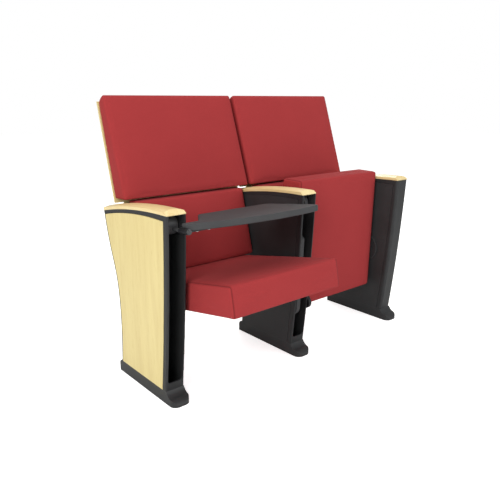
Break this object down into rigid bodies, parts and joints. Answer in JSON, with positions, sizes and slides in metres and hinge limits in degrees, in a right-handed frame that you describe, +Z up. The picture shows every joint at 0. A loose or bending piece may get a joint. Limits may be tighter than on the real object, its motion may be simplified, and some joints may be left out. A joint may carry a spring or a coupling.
{
  "type": "auditorium seating unit",
  "caption": "Row unit of tip-up lecture-hall seats with padded backs, pedestal sides, wooden armrests and fold-away writing tablets.",
  "frame": {"origin": "on the floor at the middle of the centre pedestal's base plate", "axes": "+X along the row, +Y to the rear, +Z up"},
  "size_m": [1.1896, 0.694, 0.9685],
  "materials": {
    "red_fabric": "woven upholstery",
    "maple_veneer": "satin lacquered maple veneer",
    "back_veneer": "satin lacquered moulded plywood",
    "armrest_wood": "satin lacquered solid wood",
    "plywood": "raw plywood",
    "panel_plastic": "fine moulded texture",
    "casing_plastic": "fine moulded texture",
    "tablet_plastic": "fine moulded texture",
    "foot_paint": "textured powder coat",
    "arm_paint": "satin powder coat",
    "frame_paint": "satin powder coat",
    "zinc_steel": "zinc plated",
    "nylon": "natural nylon",
    "rubber": "matt"
  },
  "bodies": {
    "chair": {"armrest_screws": "zinc_steel", "back_brackets": "frame_paint", "back_shell_screws": "zinc_steel", "bracket_bolts": "zinc_steel", "centre_armrest": "armrest_wood", "centre_casing": "casing_plastic", "centre_east_panel": "panel_plastic", "centre_foot": "foot_paint", "centre_pedestal_frame": "frame_paint", "centre_west_panel": "panel_plastic", "hinge_housings": "casing_plastic", "left_armrest": "armrest_wood", "left_back_battens": "plywood", "left_back_shell": "back_veneer", "left_casing": "casing_plastic", "left_east_panel": "panel_plastic", "left_foot": "foot_paint", "left_lower_board": "plywood", "left_lower_cushion": "red_fabric", "left_pedestal_frame": "frame_paint", "left_seat_stops": "casing_plastic", "left_tablet_arm": "arm_paint", "left_tablet_retainer": "arm_paint", "left_upper_board": "plywood", "left_upper_cushion": "red_fabric", "left_west_panel": "maple_veneer", "return_springs": "zinc_steel", "right_armrest": "armrest_wood", "right_back_battens": "plywood", "right_back_shell": "back_veneer", "right_casing": "casing_plastic", "right_east_panel": "maple_veneer", "right_foot": "foot_paint", "right_lower_board": "plywood", "right_lower_cushion": "red_fabric", "right_pedestal_frame": "frame_paint", "right_seat_stops": "casing_plastic", "right_upper_board": "plywood", "right_upper_cushion": "red_fabric", "right_west_panel": "panel_plastic", "seat_pivot_pins": "zinc_steel", "stop_bumpers": "rubber", "tablet_shafts": "zinc_steel"},
    "left_seat": {"left_seat_cushion": "red_fabric", "left_seat_frame": "frame_paint", "left_seat_board": "plywood", "left_seat_bushes": "nylon"},
    "right_seat": {"right_seat_cushion": "red_fabric", "right_seat_frame": "frame_paint", "right_seat_board": "plywood", "right_seat_bushes": "nylon"},
    "left_tablet": {"left_tablet_top": "tablet_plastic", "left_tablet_bracket": "frame_paint", "left_tablet_screws": "zinc_steel"},
    "right_tablet": {"right_tablet_top": "tablet_plastic", "right_tablet_bracket": "frame_paint", "right_tablet_screws": "zinc_steel", "right_tablet_arm": "arm_paint", "right_tablet_retainer": "arm_paint"}
  },
  "joints": [
    {"name": "left_seat_tip", "type": "hinge", "parent": "chair", "child": "left_seat", "pos_m": [-0.28, -0.056, 0.319], "axis": [-1, 0, 0], "range_deg": [0, 78]},
    {"name": "right_seat_tip", "type": "hinge", "parent": "chair", "child": "right_seat", "pos_m": [0.28, -0.056, 0.319], "axis": [-1, 0, 0], "range_deg": [-78, 0]},
    {"name": "left_tablet_flip", "type": "hinge", "parent": "chair", "child": "left_tablet", "pos_m": [-0.555, -0.14077, 0.57903], "axis": [0, -0.9976, 0.0698], "range_deg": [0, 90]},
    {"name": "right_tablet_swing", "type": "hinge", "parent": "chair", "child": "right_tablet", "pos_m": [0.005, -0.14, 0.59], "axis": [-1, 0, 0], "range_deg": [0, 187]}
  ],
  "couplings": [
    {"joint": "left_tablet_flip", "follows": "left_seat_tip", "ratio": 1.1538}
  ]
}
